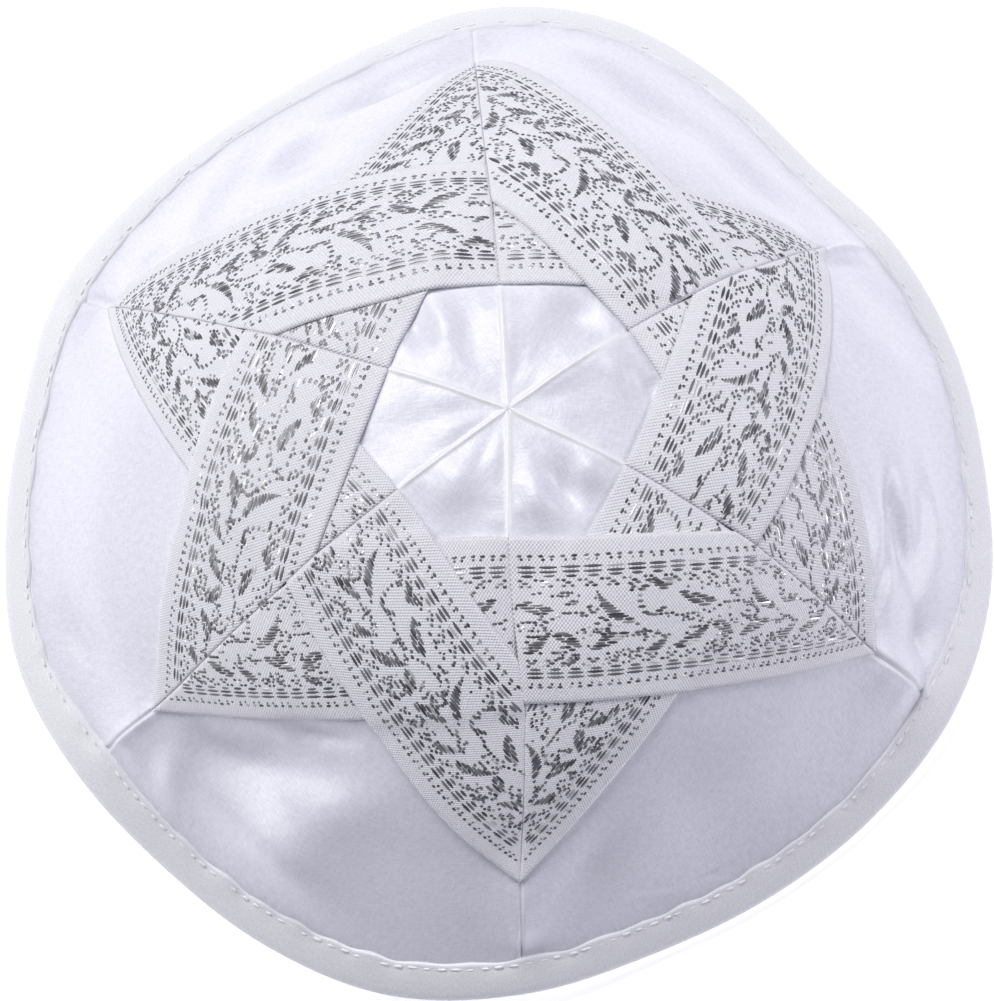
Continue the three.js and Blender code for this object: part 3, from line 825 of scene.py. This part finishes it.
class SKULLCAP_OT_floats(bpy.types.Operator):
    """Lay the silver floats of the brocade's vine and borders on each strip"""
    bl_idname = "skullcap.floats"
    bl_label = "Silver floats"

    def execute(self, context):
        s = context.scene.skullcap_sizes
        cap = CapForm(s)
        finish = finish_for("silver")
        rng = np.random.default_rng(7)
        for number, over, word in strips():
            rows = self.chart(cap, s, number, over, rng)
            self.lay(cap, s, number, over, word, rows, finish, rng)
        return {"FINISHED"}

    @staticmethod
    def chart(cap, s, number, over, rng):
        """Every float of a strip: its start and end along it, and its share across it."""
        phase = ((number * 2 + over) * 0.37 % 1) * REPEAT
        width = s.ribbon_width / MM
        longest = float(cap.strip_length(number, over, 1.0)) / MM
        rows = []
        for start in np.arange(-phase, longest, REPEAT):
            rows += [(start + a, start + b, y) for a, b, y in vine_rows(width, rng)]
        for edge_share, pitch, floats in BORDER:
            for share in (edge_share, 1 - edge_share):
                for start in np.arange(-phase % pitch - pitch, longest, pitch):
                    rows += [(start + a / 10, start + b / 10, share) for a, b in floats]
        rows = np.array(rows) * (MM, MM, 1)
        room = cap.strip_length(number, over, rows[:, 2])
        rows = rows[(rows[:, 0] > MITRE_ROOM * MM) & (rows[:, 1] < room - MITRE_ROOM * MM)]
        rows[:, :2] += rng.normal(0, STRAY_ALONG * MM, (len(rows), 2))
        rows[:, 2] += rng.normal(0, STRAY_ACROSS, len(rows))
        return rows

    @staticmethod
    def lay(cap, s, number, over, word, rows, finish, rng):
        name = f"silver_{word}_{number + 1}"
        mesh, shape = copies(name, grid_mesh(name + "_one", *FLOAT_GRID), len(rows))
        a, b = shape[None, :, 0], shape[None, :, 1] * 2 - 1
        start, end, share = (rows[:, k, None] for k in range(3))
        taper = TIP_WIDTH + (1 - TIP_WIDTH) * np.sin(math.pi * a)
        long = start + (end - start) * a
        across = share + b * taper * s.float_width / 2 / s.ribbon_width
        bend = np.sin(math.pi * np.clip(a, 0.04, 0.96))
        arch = (1 - b ** 2) * (TIP_HEIGHT + (1 - TIP_HEIGHT) * bend)
        height = s.ribbon_thickness + FLOAT_RISE * MM * arch - FLOAT_SINK * MM
        along = long / cap.strip_length(number, over, across)
        move_points(mesh, cap.strip(number, over, along.ravel(), across.ravel(),
                                    np.broadcast_to(height, along.shape).ravel()))
        face_up(mesh)
        mesh.shade_smooth()
        # Each float's random value sets its tone, and for the highest few a painted glint.
        set_values(mesh, "shine", np.repeat(rng.random(len(rows)), len(shape)))
        piece = make_object(name, mesh, finish)
        longest = float(cap.strip_length(number, over, 1.0))


# The tape's section, from its upper inner edge round the fold to its lower one: share of the way
# round, place along the cloth from the rim in tape widths, and height off it in millimetres.
SECTION = (
    (0, -1, 0.1), (0.07, -0.97, 0.55), (0.13, -0.86, 0.6), (0.2, -0.72, 0.8), (0.32, -0.4, 1),
    (0.42, -0.05, 1), (0.47, 0.13, 0.6), (0.5, 0.2, -0.5), (0.53, 0.13, -1.5),
    (0.58, -0.05, -1.95), (0.68, -0.4, -2), (0.8, -0.72, -1.8), (0.87, -0.86, -1.45),
    (0.93, -0.97, -1.55), (1, -1, -1.1),
)
TAPE_GRID = (640, 26)

# The tape's length round its section, for its cloth map, in millimetres.
TAPE_GIRTH = 16

# The ripple of the tape's upper inner edge: how far in and how far down it goes, in millimetres,
# and where it is strongest and how far it spreads, in tape widths from the rim.
RIPPLE_IN, RIPPLE_DOWN = 0.22, 0.1
RIPPLE_MIDDLE, RIPPLE_SPREAD = 0.9, 0.25

# The step where the tape's ends lap: its place in seams from the top one, its height in
# millimetres, and where it rises and fades, in seams.
LAP, LAP_HEIGHT, LAP_RISE, LAP_FADE = 0.19, 0.45, (0, 0.01), (0.02, 0.2)


class SKULLCAP_OT_binding(bpy.types.Operator):
    """Fold the tape round the rim"""
    bl_idname = "skullcap.binding"
    bl_label = "Rim binding"

    def execute(self, context):
        s = context.scene.skullcap_sizes
        cap = CapForm(s)
        mesh = grid_mesh("binding_tape", *TAPE_GRID)
        flat = mesh_points(mesh)
        angle = flat[:, 0] * 2 * math.pi
        knots, places, heights = np.array(SECTION).T
        along = np.interp(flat[:, 1], knots, places) * s.binding_width
        height = np.interp(flat[:, 1], knots, heights) * MM
        along = np.where(along < 0, along * around(TAPE, flat[:, 0]), along)
        ripple = np.sin(61 * angle + 2 * np.sin(7 * angle)) + 0.7 * np.sin(37 * angle + 1)
        upper = height > -MM
        near = np.exp(-((along / s.binding_width + RIPPLE_MIDDLE) / RIPPLE_SPREAD) ** 2) * upper
        along = along + RIPPLE_IN * MM * ripple * near
        height = height - RIPPLE_DOWN * MM * near * (ripple + 0.6)
        lap = flat[:, 0] * GORES - LAP
        step = smooth(lap, *LAP_RISE) * (1 - smooth(lap, *LAP_FADE))
        height = height + LAP_HEIGHT * MM * step * (height > 0)
        points = cap.cloth(angle, 1 + along / cap.length, height)
        points[:, 2] = np.maximum(points[:, 2], 0)
        move_points(mesh, points)
        set_uv(mesh, np.stack([angle * cap.radius, flat[:, 1] * TAPE_GIRTH * MM], -1))
        self.close(mesh)
        piece = make_object("binding_tape", mesh, finish_for("tape"))
        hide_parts("rim_binding")
        return {"FINISHED"}

    @staticmethod
    def close(mesh):
        """Joins the tape's ends and its two inner edges, so that it is a closed ring."""
        bm = bmesh.new()
        bm.from_mesh(mesh)
        bmesh.ops.remove_doubles(bm, verts=bm.verts, dist=0.00001)
        bmesh.ops.bridge_loops(bm, edges=[e for e in bm.edges if e.is_boundary])
        bmesh.ops.recalc_face_normals(bm, faces=bm.faces)
        bm.to_mesh(mesh)
        bm.free()
        mesh.shade_smooth()


# A stitch: its place in tape widths from the rim and its half length as a share of the pitch,
# then its height off the cloth, half width and half thickness in millimetres. Then how unevenly
# they are sewn: in pitches along the seam and in length, and in millimetres across it.
STITCH_PLACE, STITCH_HALF = 0.85, 0.3
STITCH_HEIGHT, STITCH_WIDE, STITCH_THICK = 0.62, 0.2, 0.18
UNEVEN_ALONG, UNEVEN_LENGTH, UNEVEN_ACROSS = 0.05, 0.05, 0.08


class SKULLCAP_OT_stitches(bpy.types.Operator):
    """Sew the binding down with a line of thread"""
    bl_idname = "skullcap.stitches"
    bl_label = "Binding stitches"

    def execute(self, context):
        s = context.scene.skullcap_sizes
        cap = CapForm(s)
        bm = bmesh.new()
        bmesh.ops.create_uvsphere(bm, u_segments=8, v_segments=6, radius=1)
        count = int(2 * math.pi * s.rim_radius / s.stitch_pitch)
        mesh, shape = copies("binding_stitches", as_mesh("stitch_one", bm), count)
        rng = np.random.default_rng(11)
        turns = (np.arange(count) + rng.normal(0, UNEVEN_ALONG, count))[:, None] / count
        x, y, z = (shape[None, :, k] for k in range(3))
        half = (STITCH_HALF + rng.normal(0, UNEVEN_LENGTH, count))[:, None] * s.stitch_pitch
        angle = turns * 2 * math.pi + x * half / cap.radius
        along = (-STITCH_PLACE * s.binding_width * around(TAPE, turns) + y * STITCH_WIDE * MM
                 + rng.normal(0, UNEVEN_ACROSS * MM, count)[:, None])
        height = np.broadcast_to(STITCH_HEIGHT * MM + z * STITCH_THICK * MM, angle.shape)
        move_points(mesh, cap.cloth(angle.ravel(), 1 + along.ravel() / cap.length, height.ravel()))
        mesh.shade_smooth()
        make_object("binding_stitches", mesh, finish_for("thread"))
        return {"FINISHED"}


# Each lamp: its name, the way it stands in and its rise over the floor in degrees, its power in
# watts and its colour. All stand equally far off, in metres, and are equally wide.
LAMPS = (("window", 174, 38, 7.4, (1, 1, 0.99)), ("skylight", 119, 57, 11.8, (1, 1, 1)),
         ("lantern", 4, 28, 8.6, (0.97, 0.96, 1)))
LAMP_DISTANCE, LAMP_WIDTH = 1.45, 0.7

# The camera: its lens and sensor in millimetres, its distance in metres and rise in degrees, and
# how far it looks past the crown's axis, in millimetres.
LENS, SENSOR = 165.7, 36
CAMERA_DISTANCE, CAMERA_RISE = 0.8, 70
LOOK_PAST = (-1.7, 1.1)

# The floor's half width in metres, and how far it lies under the cap, in millimetres.
FLOOR_HALF, FLOOR_DROP = 3, 0.2


def direction(way, rise):
    """The unit vector in that way round and at that rise, both in degrees."""
    way, rise = math.radians(way), math.radians(rise)
    return Vector((math.cos(way) * math.cos(rise), math.sin(way) * math.cos(rise), math.sin(rise)))


def stand(name, data, place, target):
    """Puts a lamp or camera at that place, turned to the target."""
    made = bpy.data.objects.new(name, data)
    made.location = place
    made.rotation_euler = (target - place).to_track_quat("-Z", "Y").to_euler()
    bpy.context.scene.collection.objects.link(made)
    return made


class SKULLCAP_OT_stage(bpy.types.Operator):
    """Lay the pale floor, and set the soft lights and the camera"""
    bl_idname = "skullcap.stage"
    bl_label = "Floor, lights and camera"

    def execute(self, context):
        scene = context.scene
        bm = bmesh.new()
        bmesh.ops.create_grid(bm, x_segments=1, y_segments=1, size=FLOOR_HALF)
        mesh = as_mesh("pale_floor", bm)
        mesh.transform(Matrix.Translation((0, 0, -FLOOR_DROP * MM)))
        finish, _, _ = new_finish(
            "pale_floor", Roughness=0.9, Base_Color=(0.9, 0.9, 0.9, 1),
            Emission_Color=(0.9, 0.9, 1, 1), Emission_Strength=0.58)
        mesh.materials.append(finish)
        floor = bpy.data.objects.new("pale_floor", mesh)
        scene.collection.objects.link(floor)

        for name, way, rise, power, colour in LAMPS:
            data = bpy.data.lights.new(name, "AREA")
            data.shape, data.size, data.energy, data.color = "DISK", LAMP_WIDTH, power, colour
            stand(name, data, LAMP_DISTANCE * direction(way, rise), Vector())

        world = scene.world or bpy.data.worlds.new("World")
        scene.world = world
        world.use_nodes = True
        back = world.node_tree.nodes["Background"]
        back.inputs["Color"].default_value = (0.66, 0.64, 1.0, 1)
        back.inputs["Strength"].default_value = 0.1
        scene.view_settings.view_transform = "Standard"

        camera = bpy.data.cameras.new("camera")
        camera.lens, camera.sensor_width = LENS, SENSOR
        camera.clip_start = 0.01
        crown = -CapForm(scene.skullcap_sizes).middle
        target = Vector((crown[0] + LOOK_PAST[0] * MM, crown[1] + LOOK_PAST[1] * MM, 0))
        place = target + CAMERA_DISTANCE * direction(-90, CAMERA_RISE)
        scene.camera = stand("camera", camera, place, target)
        return {"FINISHED"}


STEPS = (SKULLCAP_OT_stage, SKULLCAP_OT_gores, SKULLCAP_OT_ribbons, SKULLCAP_OT_floats,
         SKULLCAP_OT_binding, SKULLCAP_OT_stitches)


class SKULLCAP_PT_panel(bpy.types.Panel):
    """Lists the cap's pieces, sizes and colours"""
    bl_idname = "SKULLCAP_PT_panel"
    bl_label = "Skullcap"
    bl_space_type = "VIEW_3D"
    bl_region_type = "UI"
    bl_category = "Skullcap"

    def draw(self, context):
        for step in STEPS:
            self.layout.operator(step.bl_idname)
        for group in (context.scene.skullcap_sizes, context.scene.skullcap_colours):
            for name in group.__annotations__:
                self.layout.prop(group, name)


CLASSES = (SKULLCAP_PG_sizes, SKULLCAP_PG_colours, *STEPS, SKULLCAP_PT_panel)


def register():
    for cls in CLASSES:
        bpy.utils.register_class(cls)
    bpy.types.Scene.skullcap_sizes = bpy.props.PointerProperty(type=SKULLCAP_PG_sizes)
    bpy.types.Scene.skullcap_colours = bpy.props.PointerProperty(type=SKULLCAP_PG_colours)


def unregister():
    del bpy.types.Scene.skullcap_colours
    del bpy.types.Scene.skullcap_sizes
    for cls in reversed(CLASSES):
        bpy.utils.unregister_class(cls)


def main():
    register()
    for step in STEPS:
        group, name = step.bl_idname.split(".")
        getattr(getattr(bpy.ops, group), name)()


if __name__ == "__main__":
    main()
